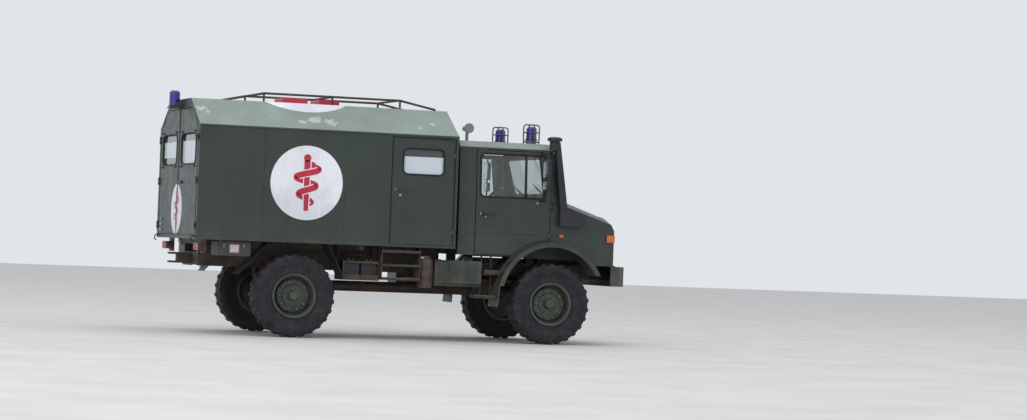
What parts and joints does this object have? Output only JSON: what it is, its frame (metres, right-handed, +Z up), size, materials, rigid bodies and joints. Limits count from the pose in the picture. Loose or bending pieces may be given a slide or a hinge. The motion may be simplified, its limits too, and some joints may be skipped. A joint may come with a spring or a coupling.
{
  "type": "military ambulance truck",
  "caption": "Light off-road ambulance truck with a short-nosed cab, a box body for stretchers, portal axles, hinged doors and bonnet, steered front wheels.",
  "frame": {"origin": "on the ground, midway between the bumper's face and the back of the rear beacon, on the vehicle's middle plane", "axes": "+X forward, +Y to the vehicle's left, +Z up"},
  "size_m": [5.62, 2.57, 2.944],
  "materials": {
    "body_green": "matt olive green paint, worn",
    "roof_green": "faded olive green paint",
    "wheel_green": "matt green paint, dusty",
    "chassis_black": "satin black paint with rust",
    "black_plastic": "matt black moulding",
    "tyre_black": "worn tread rubber",
    "rusty_steel": "rusted steel",
    "bare_steel": "galvanised steel",
    "window_glass": "clear safety glass",
    "lamp_glass": "ribbed lamp glass",
    "orange_lens": "moulded lens",
    "red_lens": "moulded lens",
    "blue_lens": "moulded dome",
    "white_paint": "matt white paint",
    "red_paint": "matt red paint",
    "inner_panel": "pale wipe-clean panel",
    "seat_cloth": "woven cover",
    "stretcher_cover": "coated cover"
  },
  "bodies": {
    "chassis": {"front_axle": "chassis_black", "rear_axle": "chassis_black", "frame_rails": "chassis_black", "frame_crossmembers": "chassis_black", "body_subframe": "chassis_black", "suspension": "chassis_black", "powertrain": "chassis_black", "box_side_walls": "body_green", "box_front_wall": "body_green", "box_floor": "inner_panel", "box_roof": "roof_green", "box_rear_frame": "body_green", "cab_shell": "body_green", "cab_roof": "roof_green", "fixed_glass": "window_glass", "front_wings": "body_green", "front_panel": "body_green", "headlamps": "lamp_glass", "indicators": "orange_lens", "front_bumper": "body_green", "tow_coupling": "chassis_black", "snorkel": "black_plastic", "siren": "white_paint", "roof_vents": "red_paint", "beacons": "blue_lens", "roof_rack": "chassis_black", "fuel_tank": "body_green", "side_lockers": "body_green", "side_steps": "bare_steel", "exhaust": "rusty_steel", "rear_mudguards": "black_plastic", "rear_lamps": "red_lens", "seats": "seat_cloth", "dashboard": "black_plastic", "stretchers": "stretcher_cover"},
    "knuckle_left": {"knuckle_left": "chassis_black"},
    "cab_door_left": {"cab_door_left": "body_green", "cab_door_glass_left": "window_glass", "mirror_left": "black_plastic"},
    "rear_door_left": {"rear_door_left": "body_green", "rear_door_glass_left": "window_glass"},
    "wheel_front_left": {"tyre_front_left": "tyre_black", "rim_front_left": "wheel_green"},
    "wheel_rear_left": {"tyre_rear_left": "tyre_black", "rim_rear_left": "wheel_green"},
    "knuckle_right": {"knuckle_right": "chassis_black"},
    "cab_door_right": {"cab_door_right": "body_green", "cab_door_glass_right": "window_glass", "mirror_right": "black_plastic"},
    "rear_door_right": {"rear_door_right": "body_green", "rear_door_glass_right": "window_glass"},
    "wheel_front_right": {"tyre_front_right": "tyre_black", "rim_front_right": "wheel_green"},
    "wheel_rear_right": {"tyre_rear_right": "tyre_black", "rim_rear_right": "wheel_green"},
    "tie_rod": {"tie_rod": "chassis_black"},
    "bonnet": {"bonnet": "body_green"},
    "side_door": {"side_door": "body_green", "side_door_glass": "window_glass"}
  },
  "joints": [
    {"name": "steer_left", "type": "hinge", "parent": "chassis", "child": "knuckle_left", "pos_m": [1.84, 0.73, 0.625], "axis": [0, 0, 1], "range_deg": [-32, 32]},
    {"name": "spin_front_left", "type": "hinge", "parent": "knuckle_left", "child": "wheel_front_left", "pos_m": [1.84, 0.93, 0.5], "axis": [0, 1, 0], "continuous": true},
    {"name": "spin_rear_left", "type": "hinge", "parent": "chassis", "child": "wheel_rear_left", "pos_m": [-1.41, 0.93, 0.5], "axis": [0, 1, 0], "continuous": true},
    {"name": "open_cab_door_left", "type": "hinge", "parent": "chassis", "child": "cab_door_left", "pos_m": [1.814, 1.013, 1.79], "axis": [0, 0, -1], "range_deg": [0, 75]},
    {"name": "open_rear_door_left", "type": "hinge", "parent": "chassis", "child": "rear_door_left", "pos_m": [-2.667, 1.086, 1.195], "axis": [0, 0, -1], "range_deg": [0, 110]},
    {"name": "steer_right", "type": "hinge", "parent": "chassis", "child": "knuckle_right", "pos_m": [1.84, -0.73, 0.625], "axis": [0, 0, 1], "range_deg": [-32, 32]},
    {"name": "spin_front_right", "type": "hinge", "parent": "knuckle_right", "child": "wheel_front_right", "pos_m": [1.84, -0.93, 0.5], "axis": [0, 1, 0], "continuous": true},
    {"name": "spin_rear_right", "type": "hinge", "parent": "chassis", "child": "wheel_rear_right", "pos_m": [-1.41, -0.93, 0.5], "axis": [0, 1, 0], "continuous": true},
    {"name": "open_cab_door_right", "type": "hinge", "parent": "chassis", "child": "cab_door_right", "pos_m": [1.814, -1.013, 1.79], "axis": [0, 0, 1], "range_deg": [0, 75]},
    {"name": "open_rear_door_right", "type": "hinge", "parent": "chassis", "child": "rear_door_right", "pos_m": [-2.667, -1.086, 1.195], "axis": [0, 0, 1], "range_deg": [0, 110]},
    {"name": "follow_tie_rod", "type": "hinge", "parent": "knuckle_left", "child": "tie_rod", "pos_m": [2.1, 0.73, 0.577], "axis": [0, 0, 1], "range_deg": [-32, 32]},
    {"name": "open_side_door", "type": "hinge", "parent": "chassis", "child": "side_door", "pos_m": [0.515, -1.165, 1.195], "axis": [0, 0, 1], "range_deg": [0, 100]},
    {"name": "open_bonnet", "type": "hinge", "parent": "chassis", "child": "bonnet", "pos_m": [2.014, 0, 1.813], "axis": [0, -1, 0], "range_deg": [0, 60]}
  ],
  "couplings": [
    {"joint": "steer_right", "follows": "steer_left", "ratio": 1},
    {"joint": "follow_tie_rod", "follows": "steer_left", "ratio": -1}
  ]
}
